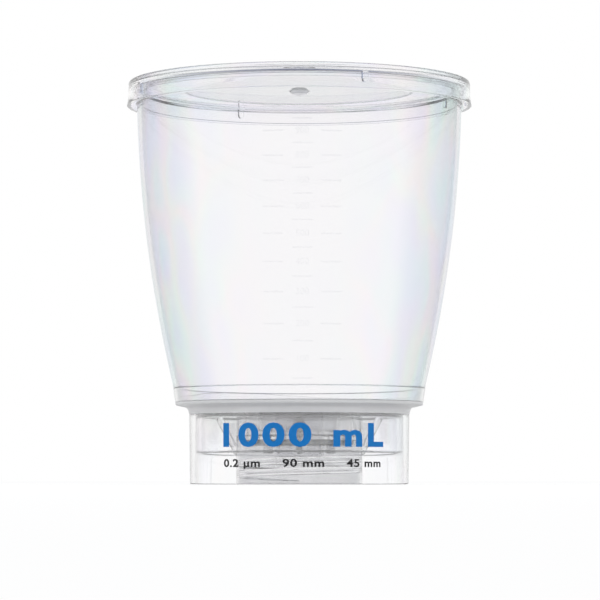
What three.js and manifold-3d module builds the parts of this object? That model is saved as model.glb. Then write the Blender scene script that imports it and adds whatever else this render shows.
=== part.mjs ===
// Bottle-top vacuum filtration unit, 1000 mL, for bottles with a 45 mm screw neck.
//
// A clear moulded reservoir stands on a round base. A 90 mm filter membrane lies between them on a
// grooved support plate. The base screws onto a bottle, and the vacuum hose goes on the barb at its back,
// so that the filtrate is drawn through the membrane and down the drip spout. A loose lid covers the top.
//
// Millimetres, +Z up. The origin is the centre of the ring that the base stands on, -Y is the front, and
// the hose barb points along +Y. Every round part turns about the Z axis.

import * as THREE from 'three';
import { mergeVertices } from 'three/addons/utils/BufferGeometryUtils.js';
import Module from 'manifold-3d';

const wasm = await Module();
wasm.setup();

// ---------------------------------------------------------------- driving dimensions

// Clearances and smoothness.
const bondGap = 0.3; // between pieces that are bonded or pushed together
const lidGap = 0.35; // between the lid's ribs or plug and the reservoir's rim
const edgeBreak = 0.4; // chamfer on moulded edges
const roundSides = 48; // flat sides round a large circle
const smallSides = 20; // flat sides round a small circle
const arcSteps = 7; // straight stretches along the reservoir's curved wall

// Filter base: outer skirt, grooved plate, collar and drip spout.
const skirtTopRadius = 41.9;
const skirtDraft = 0.35; // the skirt is this much narrower at its foot
const footWall = 1.65;
const skirtWall = 2.2;
const plateUnderside = 29.2; // height of the plate's lower face
const plateThickness = 2;
const flareReach = 1.6; // the skirt flares out to meet the plate
const flareDrop = 3.2;
const collarRadius = 48.05; // outer radius at the collar's top
const collarDraft = 0.95; // the collar is this much narrower at its foot
const collarWall = 1.1;
const collarHeight = 5.2; // above the plate
const ledgeRise = 1; // the collar's outer edge starts this far above the plate's lower face
const grooveCount = 5;
const grooveSpacing = 7;
const grooveWidth = 1.6;
const grooveDepth = 0.7;
const grooveMargin = 4.3; // from the membrane's edge in to the outermost groove
const channelCount = 6;
const spoutRadius = 9.2;
const spoutWall = 1.6;
const spoutEnd = 10.9; // height of the spout's lower end
const drainHoleCount = 6;
const drainHoleRadius = 1.3;
const drainHoleCentre = 5;
const baffleRadius = 15.6; // ring that keeps splashes from the vacuum port
const baffleWall = 1.5;
const baffleLift = 2.1; // open height between the baffle and the web

// Neck adapter: deck and ring wall inside the skirt, web, and the threaded neck with its gussets.
const ringFoot = 11.8; // height of the ring wall's lower edge
const ringWall = 2.1;
const ringRound = 1.8; // rounding of the ring wall's lower edge
const deckThickness = 3.2;
const neckRadius = 24;
const neckWall = 1.1;
const neckRecess = 0.5; // the neck ends this far above the foot
const chamberRadius = 20.2;
const webHeight = 18.4; // top of the web that closes the neck
const webThickness = 1.4;
const gussetReach = 8.7; // out from the neck, at the deck
const gussetFootReach = 1.8;
const gussetFoot = 13.2; // height of the gussets' lower ends
const gussetThickness = 1.4;
const gussetEdgeWidth = 3.1; // thicker band along the sloping edge
const gussetEdgeThickness = 2.4;
const nippleCentre = 11.9; // vent nipples under the web
const nippleRadius = 1.9;
const nippleBore = 1.1;
const nippleEnd = 12.2;

// 45 mm screw thread in the neck.
const threadPitch = 4;
const threadDepth = 1.9;
const threadTurns = 2;
const threadRootWidth = 2.6;
const threadCrestWidth = 1.2;
const threadStart = 2.6; // above the neck's mouth
const threadStepsPerTurn = 28;

// Neck gasket, which the bottle's mouth seals on.
const gasketThickness = 1.6;
const gasketNippleGap = 1; // between the gasket and the nipples inside it
const gasketWidth = 5.6;

// Membrane.
const membraneEdgeGap = 0.4; // between the membrane and the collar round it
const membraneThickness = 0.2;

// Reservoir.
const reservoirHeight = 113.2; // from its shoulder to its rim
const rimRadius = 62.15;
const rimBand = 5.1; // height of the thicker band below the rim
const rimBandRise = 0.25;
const shoulderStep = 0.15; // the reservoir's foot stands this far inside the collar
const wallArcRadius = 511; // the wall bulges on this radius
const reservoirWall = 1.5;
const tongueWall = 0.9;

// Lid.
const lidWall = 1.3;
const lidRibDepth = 1.3;
const lidRibWidth = 2.2;
const lidRibDrop = 3.5; // how far the ribs reach below the rim
const lidRibTaper = 1.4;
const lidRibCount = 4;
const lidRibAngle = 22; // degrees from the front towards +X
const lidSkirtDrop = 5.7; // how far the skirt reaches below the rim
const lidFlare = 0.5;
const lidTopRise = 3.5; // how far the lid's own rim stands above the reservoir's
const lidRimWidth = 2.4;
const lidRimRound = 1.3;
const lidGrooveDepth = 0.6; // groove under the lid just outside the reservoir's rim
const lidPanel = 1.8;
const locatingRingDrop = 1.4; // ring under the lid, inside the reservoir's rim
const locatingRingWidth = 1.4;
const stackingGap = 1.85; // round the foot of the next unit, which stands in the lid's recess
const lidRecessDepth = 0.5;
const lidDiscRise = 0.3; // the middle of the underside is this much higher
const gateRadius = 3.8;
const gateDrop = 1.1; // the moulding gate's mark under the lid

// Vacuum port, its hydrophobic plug and the hose adapter.
const portRadius = 4.6;
const portBore = 3.3;
const portReach = 4.2; // how far the port stands out of the skirt
const plugLength = 8;
const adapterSpigot = 3.4; // length pushed into the port
const adapterFlangeRadius = 5.6;
const adapterFlange = 1.5;
const adapterBore = 1.9;
const barbCount = 3;
const barbPitch = 4.6;
const barbRootRadius = 3.3;
const barbRadius = 4.3;
const barbTip = 2.2; // plain end beyond the last barb

// ---------------------------------------------------------------- sizes that follow

const plateTop = plateUnderside + plateThickness;
const membraneTop = plateTop + membraneThickness;
const collarTop = plateTop + collarHeight;
const shoulderHeight = collarTop + bondGap;
const rimHeight = shoulderHeight + reservoirHeight;
const rimInner = rimRadius - reservoirWall;

const collarFootRadius = collarRadius - collarDraft;
const collarInnerTop = collarRadius - collarWall;
const collarInnerFoot = collarFootRadius + 0.2 - collarWall;
const spoutBore = spoutRadius - spoutWall;
const membraneRadius = collarInnerFoot - membraneEdgeGap;
const outerGroove = membraneRadius - grooveMargin;
const shoulderRadius = collarRadius - shoulderStep;
const skirtInner = skirtTopRadius - skirtWall;
const footRadius = skirtTopRadius - skirtDraft;
const footInner = footRadius - footWall;

const deckUnderside = plateUnderside - deckThickness;
const ringOuter = skirtInner - bondGap;
const ringInner = ringOuter - ringWall;
const webUnderside = webHeight - webThickness;
const boreRadius = neckRadius - neckWall;
const gasketInner = nippleCentre + nippleRadius + gasketNippleGap;
const gasketOuter = gasketInner + gasketWidth;

const lidInner = rimRadius + rimBandRise + lidGap + lidRibDepth;
const lidOuter = lidInner + lidWall;
const lidTop = rimHeight + lidTopRise;
const panelTop = rimHeight + lidPanel;
const lidRecessRadius = footRadius + stackingGap;

const portHeight = deckUnderside - portRadius + edgeBreak;
const portEnd = skirtTopRadius + portReach;

// ---------------------------------------------------------------- helpers

// A closed geometry as a solid for cutting and joining: shared corners merged, flat faces dropped.
function solidOf(geometry) {
  const bare = geometry.clone();
  bare.deleteAttribute('normal');
  bare.deleteAttribute('uv');
  const merged = mergeVertices(bare, 1e-4);
  const corners = merged.index.array;
  const kept = [];
  for (let i = 0; i < corners.length; i += 3) {
    const [a, b, c] = [corners[i], corners[i + 1], corners[i + 2]];
    if (a !== b && b !== c && c !== a) kept.push(a, b, c);
  }
  return new wasm.Manifold(new wasm.Mesh({
    numProp: 3,
    vertProperties: new Float32Array(merged.attributes.position.array),
    triVerts: new Uint32Array(kept),
  }));
}

// The other way round, for a THREE.Mesh.
function geometryOf(solid) {
  const mesh = solid.getMesh();
  const geometry = new THREE.BufferGeometry();
  geometry.setAttribute('position', new THREE.BufferAttribute(mesh.vertProperties.slice(), 3));
  geometry.setIndex(new THREE.BufferAttribute(mesh.triVerts.slice(), 1));
  geometry.computeVertexNormals();
  return geometry;
}

// A solid of revolution about Z from [radius, height] points, listed outer wall upwards first. The
// profile closes on itself, or on the axis where it starts and ends there.
function turned(points, sides = roundSides) {
  const onAxis = points[0][0] === 0 && points.at(-1)[0] === 0;
  const loop = onAxis ? points : [...points, points[0]];
  const lathe = new THREE.LatheGeometry(loop.map(([r, z]) => new THREE.Vector2(r, z)), sides);
  lathe.rotateX(Math.PI / 2);
  return solidOf(lathe);
}

// The same along +Y: the heights are then distances behind the origin, and z is the axis's height.
function turnedAlongY(points, z) {
  const onAxis = points[0][0] === 0 && points.at(-1)[0] === 0;
  const loop = onAxis ? points : [...points, points[0]];
  const lathe = new THREE.LatheGeometry(loop.map(([r, y]) => new THREE.Vector2(r, y)), smallSides);
  lathe.translate(0, 0, z);
  return solidOf(lathe);
}

// A round bar or hole along Z.
function postAt(radius, z0, z1, centre, angle) {
  const post = new THREE.CylinderGeometry(radius, radius, z1 - z0, smallSides);
  post.rotateX(Math.PI / 2);
  post.translate(centre * Math.cos(angle), centre * Math.sin(angle), (z0 + z1) / 2);
  return solidOf(post);
}

// Equal angles round the circle.
function roundTheCircle(count, make) {
  return Array.from({ length: count }, (_, i) => make((i * 2 * Math.PI) / count));
}

// A fillet between two directions as [radius, height] points: a quarter of an ellipse about a centre.
function quarter(centreR, centreZ, sizeR, sizeZ, fromDegrees, toDegrees, steps = 3) {
  return Array.from({ length: steps + 1 }, (_, i) => {
    const turn = THREE.MathUtils.degToRad(fromDegrees + ((toDegrees - fromDegrees) * i) / steps);
    return [centreR + sizeR * Math.cos(turn), centreZ + sizeZ * Math.sin(turn)];
  });
}

function meshOf(name, solid, colour, roughness, opacity = 1) {
  const material = new THREE.MeshStandardMaterial({
    color: colour,
    roughness,
    metalness: 0,
    opacity,
    transparent: opacity < 1,
  });
  const mesh = new THREE.Mesh(geometryOf(solid), material);
  mesh.name = name;
  return mesh;
}

const clearStyrene = { colour: 0xf0f3f8, roughness: 0.06, opacity: 0.3 };

function clearMesh(name, solid) {
  return meshOf(name, solid, clearStyrene.colour, clearStyrene.roughness, clearStyrene.opacity);
}

// ---------------------------------------------------------------- reservoir

// The wall's radius at a height, on an arc of wallArcRadius from the shoulder to the rim. The arc's
// centre lies level with neither end: it is found from the chord between them.
function wallArc() {
  const lower = new THREE.Vector2(shoulderRadius, shoulderHeight);
  const upper = new THREE.Vector2(rimRadius, rimHeight);
  const chord = upper.clone().sub(lower);
  const half = chord.length() / 2;
  const inward = new THREE.Vector2(-chord.y, chord.x).normalize();
  const reach = Math.sqrt(wallArcRadius ** 2 - half ** 2);
  const centre = lower.clone().add(upper).multiplyScalar(0.5).addScaledVector(inward, reach);
  return {
    radiusAt: (z, inset = 0) => centre.x + Math.sqrt((wallArcRadius - inset) ** 2 - (z - centre.y) ** 2),
  };
}

function wallPoints(fromZ, toZ, inset) {
  const arc = wallArc();
  return Array.from({ length: arcSteps + 1 }, (_, i) => {
    const z = fromZ + ((toZ - fromZ) * i) / arcSteps;
    return [arc.radiusAt(z, inset), z];
  });
}

function reservoir() {
  const tongueTop = collarInnerTop - bondGap;
  const tongueFoot = collarInnerFoot - bondGap;
  const blend = 1.6; // where the inner wall leaves the arc for the tongue
  return turned([
    [tongueFoot, membraneTop],
    [tongueTop, shoulderHeight],
    ...wallPoints(shoulderHeight, rimHeight - rimBand - rimBandRise, 0),
    [rimRadius + rimBandRise, rimHeight - rimBand],
    [rimRadius + rimBandRise, rimHeight - edgeBreak],
    [rimRadius + rimBandRise - edgeBreak, rimHeight],
    [rimInner + edgeBreak, rimHeight],
    ...wallPoints(rimHeight - edgeBreak, shoulderHeight + blend, reservoirWall),
    [tongueTop - tongueWall, shoulderHeight],
    [tongueFoot - tongueWall, membraneTop],
  ]);
}

// ---------------------------------------------------------------- membrane and filter base

function membrane() {
  return turned([
    [0, plateTop],
    [membraneRadius, plateTop],
    [membraneRadius, membraneTop],
    [0, membraneTop],
  ]);
}

// Ring grooves in the plate's top, as profile points from the outermost inwards.
function grooves() {
  return Array.from({ length: grooveCount }, (_, i) => outerGroove - i * grooveSpacing).flatMap((r) => [
    [r + grooveWidth / 2, plateTop],
    [r + grooveWidth / 2, plateTop - grooveDepth],
    [r - grooveWidth / 2, plateTop - grooveDepth],
    [r - grooveWidth / 2, plateTop],
  ]);
}

// Straight channels that lead from the outermost groove in to the drain holes.
function channel(angle) {
  const cut = new THREE.BoxGeometry(outerGroove - drainHoleCentre, grooveWidth, 2 * grooveDepth);
  cut.translate((outerGroove + drainHoleCentre) / 2, 0, plateTop);
  cut.rotateZ(angle);
  return solidOf(cut);
}

// Notch in the back of the skirt, open at the foot, that the vacuum port slides up into.
function portNotch() {
  const half = portRadius + bondGap;
  const depth = 12;
  const slot = new THREE.BoxGeometry(2 * half, depth, portHeight + 2);
  slot.translate(0, skirtTopRadius, portHeight / 2 - 1);
  const arch = new THREE.CylinderGeometry(half, half, depth, smallSides);
  arch.translate(0, skirtTopRadius, portHeight);
  return solidOf(slot).add(solidOf(arch));
}

function filterBase() {
  const baffleFoot = webHeight + baffleLift;
  const flareFoot = plateUnderside - flareDrop;
  const shell = turned([
    [0, plateUnderside],
    [spoutBore, plateUnderside],
    [spoutBore, spoutEnd],
    [spoutRadius, spoutEnd],
    [spoutRadius, plateUnderside],
    [baffleRadius - baffleWall, plateUnderside],
    [baffleRadius - baffleWall, baffleFoot],
    [baffleRadius, baffleFoot],
    [baffleRadius, plateUnderside],
    [skirtInner, plateUnderside],
    [footInner, edgeBreak],
    [footInner + edgeBreak, 0],
    [footRadius - edgeBreak, 0],
    [footRadius, edgeBreak],
    [skirtTopRadius, flareFoot],
    ...quarter(skirtTopRadius + flareReach, flareFoot, flareReach, flareDrop, 180, 90).slice(1),
    [collarFootRadius - edgeBreak, plateUnderside + ledgeRise - edgeBreak],
    [collarFootRadius, plateUnderside + ledgeRise],
    [collarRadius, collarTop - edgeBreak],
    [collarRadius - edgeBreak, collarTop],
    [collarInnerTop, collarTop],
    [collarInnerFoot, plateTop],
    ...grooves(),
    [0, plateTop],
  ]);
  const channels = roundTheCircle(channelCount, channel);
  const drains = roundTheCircle(drainHoleCount, (angle) =>
    postAt(drainHoleRadius, plateUnderside - 1, plateTop + 1, drainHoleCentre, angle));
  return [portNotch(), ...channels, ...drains].reduce((solid, cut) => solid.subtract(cut), shell);
}

// ---------------------------------------------------------------- neck adapter

function adapterShell() {
  return turned([
    [spoutRadius + bondGap, webUnderside],
    [boreRadius, webUnderside],
    [boreRadius, neckRecess + edgeBreak],
    [boreRadius + edgeBreak, neckRecess],
    [neckRadius - edgeBreak, neckRecess],
    [neckRadius, neckRecess + edgeBreak],
    [neckRadius, deckUnderside],
    [ringInner - edgeBreak, deckUnderside],
    [ringInner, deckUnderside - edgeBreak],
    ...quarter(ringInner + ringRound, ringFoot + ringRound, ringRound, ringRound, 180, 270),
    [ringOuter, ringFoot + edgeBreak],
    [ringOuter, plateUnderside],
    [chamberRadius, plateUnderside],
    [chamberRadius, webHeight],
    [spoutRadius + bondGap, webHeight],
  ]);
}

// A flat outline in [radius, height], made into a plate of one thickness that stands out from the axis.
function finOf(points, thickness, angle) {
  const outline = new THREE.Shape(points.map(([r, z]) => new THREE.Vector2(r, z)));
  const fin = new THREE.ExtrudeGeometry(outline, { depth: thickness, steps: 1, bevelEnabled: false });
  fin.translate(0, 0, -thickness / 2);
  fin.rotateX(Math.PI / 2);
  fin.rotateZ(angle);
  return solidOf(fin);
}

// Gussets brace the neck against the deck. Their sloping edge is a thicker band.
function gusset(angle) {
  const rooted = neckRadius - neckWall / 2;
  const topOuter = neckRadius + gussetReach;
  const footOuter = neckRadius + gussetFootReach;
  const topZ = deckUnderside + edgeBreak;
  const footZ = gussetFoot - gussetFootReach;
  const web = finOf([
    [rooted, footZ],
    [neckRadius, footZ],
    [footOuter, gussetFoot],
    [topOuter, topZ],
    [rooted, topZ],
  ], gussetThickness, angle);
  const band = finOf([
    [rooted, footZ],
    [neckRadius, footZ],
    [footOuter, gussetFoot],
    [topOuter, topZ],
    [topOuter - gussetEdgeWidth, topZ],
    [Math.max(rooted, footOuter - gussetEdgeWidth), gussetFoot],
  ], gussetEdgeThickness, angle);
  return web.add(band);
}

// The thread is a straight bar of trapezoid section, bent round the bore into a helix. Its ridge rises
// out of the wall over the first quarter turn and sinks back over the last one.
function thread() {
  const root = boreRadius + neckWall / 2;
  const section = new THREE.Shape();
  section.moveTo(0, -threadRootWidth / 2);
  section.lineTo(1, -threadCrestWidth / 2);
  section.lineTo(1, threadCrestWidth / 2);
  section.lineTo(0, threadRootWidth / 2);
  section.closePath();
  const bar = new THREE.ExtrudeGeometry(section, {
    depth: threadTurns,
    steps: threadTurns * threadStepsPerTurn,
    bevelEnabled: false,
  });
  const place = bar.attributes.position;
  const runOut = 0.25;
  const least = 0.35; // share of the height left at the ends
  for (let i = 0; i < place.count; i += 1) {
    const turns = place.getZ(i);
    const rise = least + (1 - least) * Math.min(1, turns / runOut, (threadTurns - turns) / runOut);
    const r = root - place.getX(i) * (neckWall / 2 + threadDepth) * rise;
    const angle = -Math.PI / 2 + turns * 2 * Math.PI;
    const z = neckRecess + threadStart + place.getY(i) + turns * threadPitch;
    place.setXYZ(i, r * Math.cos(angle), r * Math.sin(angle), z);
  }
  return solidOf(bar);
}

// Short tube under the web, with its lower edge broken.
function nipple(angle) {
  const tube = new THREE.LatheGeometry([
    [0, nippleEnd],
    [nippleRadius - edgeBreak, nippleEnd],
    [nippleRadius, nippleEnd + edgeBreak],
    [nippleRadius, webHeight - edgeBreak],
    [0, webHeight - edgeBreak],
  ].map(([r, z]) => new THREE.Vector2(r, z)), smallSides);
  tube.rotateX(Math.PI / 2);
  tube.translate(nippleCentre * Math.cos(angle), nippleCentre * Math.sin(angle), 0);
  return solidOf(tube);
}

function neckAdapter() {
  const portRoot = neckRadius - neckWall / 2;
  const port = turnedAlongY([
    [0, portRoot],
    [portRadius, portRoot],
    [portRadius, portEnd - edgeBreak],
    [portRadius - edgeBreak, portEnd],
    [0, portEnd],
  ], portHeight);
  const bore = turnedAlongY([
    [0, chamberRadius - 1],
    [portBore, chamberRadius - 1],
    [portBore, portEnd + 1],
    [0, portEnd + 1],
  ], portHeight);
  const sides = [0, Math.PI];
  const gussets = [...sides, -Math.PI / 2].map(gusset);
  const vents = sides.map((angle) =>
    postAt(nippleBore, nippleEnd - 1, webHeight + 1, nippleCentre, angle));
  const joined = [port, thread(), ...gussets, ...sides.map(nipple)]
    .reduce((solid, piece) => solid.add(piece), adapterShell());
  return [bore, ...vents].reduce((solid, cut) => solid.subtract(cut), joined);
}

function gasket() {
  return turned([
    [gasketInner, webUnderside - gasketThickness],
    [gasketOuter, webUnderside - gasketThickness],
    [gasketOuter, webUnderside],
    [gasketInner, webUnderside],
  ]);
}

// ---------------------------------------------------------------- vacuum port fittings

const plugEnd = portEnd - adapterSpigot - bondGap;

function portPlug() {
  return turnedAlongY([
    [0, plugEnd - plugLength],
    [portBore - bondGap, plugEnd - plugLength],
    [portBore - bondGap, plugEnd],
    [0, plugEnd],
  ], portHeight);
}

function hoseAdapter() {
  const flangeEnd = portEnd + adapterFlange;
  const barbs = Array.from({ length: barbCount }, (_, i) => flangeEnd + 1 + (i + 1) * barbPitch).flatMap((y) => [
    [barbRootRadius, y - barbPitch + edgeBreak],
    [barbRadius, y - barbPitch + edgeBreak],
    [barbRootRadius, y - edgeBreak],
  ]);
  const tip = flangeEnd + 1 + barbCount * barbPitch + barbTip;
  return turnedAlongY([
    [adapterBore, portEnd - adapterSpigot],
    [portBore - bondGap, portEnd - adapterSpigot],
    [portBore - bondGap, portEnd],
    [adapterFlangeRadius, portEnd],
    [adapterFlangeRadius, flangeEnd],
    [barbRootRadius, flangeEnd],
    ...barbs,
    [barbRootRadius - edgeBreak, tip],
    [adapterBore, tip],
  ], portHeight);
}

// ---------------------------------------------------------------- lid

function lidRib(angle) {
  const outline = new THREE.Shape();
  const half = lidRibWidth / 2;
  const length = lidRibDrop + lidGrooveDepth;
  outline.moveTo(-half, 0);
  outline.lineTo(-half, -(length - lidRibTaper));
  outline.lineTo(-half / 3, -length);
  outline.lineTo(half / 3, -length);
  outline.lineTo(half, -(length - lidRibTaper));
  outline.lineTo(half, 0);
  outline.closePath();
  const rib = new THREE.ExtrudeGeometry(outline, {
    depth: lidRibDepth + lidWall / 2,
    steps: 1,
    bevelEnabled: false,
  });
  rib.rotateX(Math.PI / 2);
  rib.translate(0, -(rimRadius + rimBandRise + lidGap), rimHeight + lidGrooveDepth + edgeBreak / 2);
  rib.rotateZ(angle + THREE.MathUtils.degToRad(lidRibAngle));
  return solidOf(rib);
}

function lid() {
  const skirtFoot = rimHeight - lidSkirtDrop;
  const skirtMiddle = rimHeight - lidSkirtDrop / 2;
  const ringOut = rimInner - lidGap;
  const ringIn = ringOut - locatingRingWidth;
  const ringEnd = rimHeight - locatingRingDrop;
  const seatEnd = rimRadius + rimBandRise + lidGap;
  const discZ = rimHeight + lidDiscRise;
  const rimIn = lidOuter - lidRimWidth;
  const shell = turned([
    [0, discZ - gateDrop],
    [gateRadius * 0.7, discZ - gateDrop * 0.8],
    [gateRadius, discZ],
    [lidRecessRadius - edgeBreak, discZ],
    [lidRecessRadius, rimHeight],
    [ringIn, rimHeight],
    [ringIn + edgeBreak, ringEnd],
    [ringOut - edgeBreak, ringEnd],
    [ringOut, rimHeight],
    [seatEnd, rimHeight],
    [seatEnd, rimHeight + lidGrooveDepth],
    [lidInner, rimHeight + lidGrooveDepth],
    [lidInner, skirtMiddle],
    [lidInner + lidFlare, skirtFoot + edgeBreak],
    [lidInner + lidFlare + edgeBreak, skirtFoot],
    [lidOuter + lidFlare - edgeBreak, skirtFoot],
    [lidOuter + lidFlare, skirtFoot + edgeBreak],
    [lidOuter + lidFlare * 0.3, skirtMiddle],
    [lidOuter, rimHeight + lidGrooveDepth],
    ...quarter(lidOuter - lidRimRound, lidTop - lidRimRound, lidRimRound, lidRimRound, 15, 90),
    [rimIn, lidTop],
    [rimIn - edgeBreak, panelTop],
    [lidRecessRadius + edgeBreak, panelTop],
    [lidRecessRadius, panelTop - lidRecessDepth],
    [0, panelTop - lidRecessDepth],
  ]);
  return roundTheCircle(lidRibCount, lidRib).reduce((solid, rib) => solid.add(rib), shell);
}

// ---------------------------------------------------------------- the assembly

const unit = new THREE.Group();
unit.add(clearMesh('filter_base', filterBase()));
unit.add(clearMesh('neck_adapter', neckAdapter()));
unit.add(meshOf('filter_membrane', membrane(), 0xf7f7f5, 0.85));
unit.add(clearMesh('reservoir', reservoir()));
unit.add(meshOf('neck_gasket', gasket(), 0xb9bcc0, 0.6));
unit.add(meshOf('port_plug', portPlug(), 0xf4f4f2, 0.9));
unit.add(meshOf('hose_adapter', hoseAdapter(), 0xe9ecef, 0.35, 0.8));
unit.add(clearMesh('lid', lid()));

export default unit;
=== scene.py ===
"""Looks of a bottle-top vacuum filtration unit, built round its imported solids.

Every clear piece is worked out again as a fine surface from the sizes of its solid: smooth walls, rounded
moulded edges, the thread, gussets and ribs, the raised graduations and the printed marking. Sizes in the
functions are millimetres in the frame of the solids: +Z up, -Y the front, the vacuum port along +Y.
"""

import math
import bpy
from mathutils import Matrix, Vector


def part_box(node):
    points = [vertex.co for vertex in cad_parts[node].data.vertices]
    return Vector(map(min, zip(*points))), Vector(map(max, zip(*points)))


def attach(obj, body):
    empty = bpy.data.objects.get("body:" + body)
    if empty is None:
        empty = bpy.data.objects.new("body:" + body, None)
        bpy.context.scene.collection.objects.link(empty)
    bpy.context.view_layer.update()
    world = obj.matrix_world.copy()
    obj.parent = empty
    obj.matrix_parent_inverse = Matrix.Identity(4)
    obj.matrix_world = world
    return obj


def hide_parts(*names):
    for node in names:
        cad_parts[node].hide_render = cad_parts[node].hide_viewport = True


bl_info = {
    "name": "Vacuum Filtration Unit",
    "version": (1, 0, 0),
    "blender": (4, 5, 0),
    "location": "3D View > Sidebar > Filtration",
    "description": "Builds the looks of a bottle-top vacuum filter round its packed solids",
    "category": "Object",
}

from functools import partial

import bmesh
import bpy
import numpy as np

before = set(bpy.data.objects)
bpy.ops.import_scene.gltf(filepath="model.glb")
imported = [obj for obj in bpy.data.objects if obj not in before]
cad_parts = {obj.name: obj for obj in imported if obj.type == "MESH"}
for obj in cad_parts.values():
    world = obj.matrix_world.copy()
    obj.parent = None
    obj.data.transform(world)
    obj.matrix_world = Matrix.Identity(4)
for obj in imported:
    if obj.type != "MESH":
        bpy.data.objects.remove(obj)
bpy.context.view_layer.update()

MM = 0.001
COLUMNS = 240  # faces round a large circle
SMALL_COLUMNS = 48  # and round a small one
FRONT = -math.pi / 2  # the angle of -Y
SHARP = math.radians(32)  # an edge that turns by more than this is shaded sharp
BEND_STEP = 0.8  # flat marks are cut this often across before they are bent onto a wall


def reach(node):
    """Lowest and highest corner of a solid at rest, in millimetres."""
    low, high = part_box(node)
    return np.array(low) / MM, np.array(high) / MM


BASE_HIGH = reach("filter_base")[1]
NECK_LOW, NECK_HIGH = reach("neck_adapter")
MEMBRANE_LOW, MEMBRANE_HIGH = reach("filter_membrane")
RESERVOIR_LOW, RESERVOIR_HIGH = reach("reservoir")
GASKET_LOW, GASKET_HIGH = reach("neck_gasket")
PLUG_LOW, PLUG_HIGH = reach("port_plug")
HOSE_LOW, HOSE_HIGH = reach("hose_adapter")
LID_LOW, LID_HIGH = reach("lid")

# Sizes that several pieces share, in millimetres.
SEAM = 0.04  # air left between clear pieces that touch, so that no two faces share a plane
PLATE_TOP = MEMBRANE_LOW[2]
PLATE_UNDER = NECK_HIGH[2]
OUTER_GROOVE = 41.5  # radius of the largest ring groove in the plate
GROOVE_HALF = 0.8  # half the width of the grooves and channels
GROOVE_FLOOR = PLATE_TOP - 0.7
DRAIN_RING = 5  # radius of the ring of drain holes, where the channels end
COLLAR_TOP = BASE_HIGH[2]
COLLAR_GAP = (46.05, 46.8)  # middle of the gap between collar and tongue, at the plate and at the top
SATIN_TOP = PLATE_TOP - 0.1  # where the flare's satin finish ends
SKIRT_FOOT_RADIUS = 41.55
SKIRT_TOP_RADIUS = 41.9
SKIRT_INNER_RADII = (39.9, 39.7)  # at the foot and at the plate
FLARE_FOOT = PLATE_UNDER - 3.2
FLARE_REACH = 1.6
NOTCH_RADIUS = 41.0  # where the width of the port's notch is measured
PORT_HEIGHT = (PLUG_LOW[2] + PLUG_HIGH[2]) / 2
NECK_RADIUS = 24.0
NECK_BORE = 22.9
NIPPLE_CENTRE = 11.9
NIPPLE_RADIUS = 1.9
WEB_TOP = 18.4
WEB_UNDER = GASKET_HIGH[2]
DECK_UNDER = PLATE_UNDER - 3.2
SHOULDER = COLLAR_TOP + 0.3
SHOULDER_RADIUS = 47.9
RIM = RESERVOIR_HIGH[2]
RIM_RADIUS = 62.15
RIM_BAND_RADIUS = RESERVOIR_HIGH[0]
RESERVOIR_WALL = 1.5
WALL_ARC = 511.0  # radius of the wall's bulge, seen from the side
CAPACITY = 1000  # millilitres
LID_GAP = 0.35  # air between the lid and the reservoir
LID_WALL = 1.3
LID_SEAT = RIM_BAND_RADIUS + LID_GAP
INK = 0.03  # thickness of the print


# ---------------------------------------------------------------- surfaces


def softened(corners, steps=5):
    """A closed outline with rounded corners. Rows are radius, height and the length cut off each side.

    Each corner becomes a parabola arc: (1-t)^2 start + 2t(1-t) corner + t^2 end. One more point stands just
    outside each end of the arc, which keeps the flat faces flat in shading.
    """
    corners = np.asarray(corners, float)
    place, cut = corners[:, :2], corners[:, 2:]
    before = np.roll(place, 1, 0) - place
    after = np.roll(place, -1, 0) - place
    before_length = np.linalg.norm(before, axis=1, keepdims=True)
    after_length = np.linalg.norm(after, axis=1, keepdims=True)
    before, after = before / before_length, after / after_length
    cut = np.minimum(cut, 0.42 * np.minimum(before_length, after_length))
    hold = np.where(cut > 0, cut + np.minimum(0.5 * cut, 0.12), 0)
    start, end = place + before * cut, place + after * cut
    t = np.linspace(0, 1, steps + 1)[None, :, None]
    arc = (1 - t) ** 2 * start[:, None] + 2 * t * (1 - t) * place[:, None] + t**2 * end[:, None]
    lead, trail = (place + before * hold)[:, None], (place + after * hold)[:, None]
    outline = np.concatenate([lead, arc, trail], 1).reshape(-1, 2)
    step = np.linalg.norm(outline - np.roll(outline, 1, 0), axis=1)
    return outline[step > 1e-4]


def even_angles(columns=COLUMNS):
    """Equal steps once round, from 0."""
    return np.arange(columns) * (2 * np.pi / columns)


def grid_faces(rows, columns, wrap_rows):
    """Corner indices of the quads of a grid whose columns close round, counter-clockwise from outside."""
    row = np.arange(rows if wrap_rows else rows - 1)
    i, j = np.meshgrid(row, np.arange(columns), indexing="ij")
    i1, j1 = (i + 1) % rows, (j + 1) % columns
    return np.stack([i * columns + j, i * columns + j1, i1 * columns + j1, i1 * columns + j], -1).reshape(-1, 4)


def mesh_of(name, points, faces):
    """A mesh from points in millimetres and quads. A quad with two equal corners becomes a triangle."""
    faces = np.asarray(faces)
    repeat = faces == np.roll(faces, -1, 1)
    kept = ~repeat
    sizes = kept.sum(1)
    corners = faces[kept][np.repeat(sizes, sizes) >= 3]
    sizes = sizes[sizes >= 3]
    mesh = bpy.data.meshes.new(name)
    mesh.vertices.add(len(points))
    mesh.vertices.foreach_set("co", (np.asarray(points) * MM).astype(np.float32).ravel())
    mesh.loops.add(len(corners))
    mesh.loops.foreach_set("vertex_index", corners.astype(np.int32))
    mesh.polygons.add(len(sizes))
    mesh.polygons.foreach_set("loop_start", np.concatenate([[0], np.cumsum(sizes)[:-1]]).astype(np.int32))
    mesh.update(calc_edges=True)
    mesh.validate()
    return mesh


def piece_of(name, data):
    """A new object in the scene."""
    piece = bpy.data.objects.new(name, data)
    bpy.context.scene.collection.objects.link(piece)
    return piece


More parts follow.
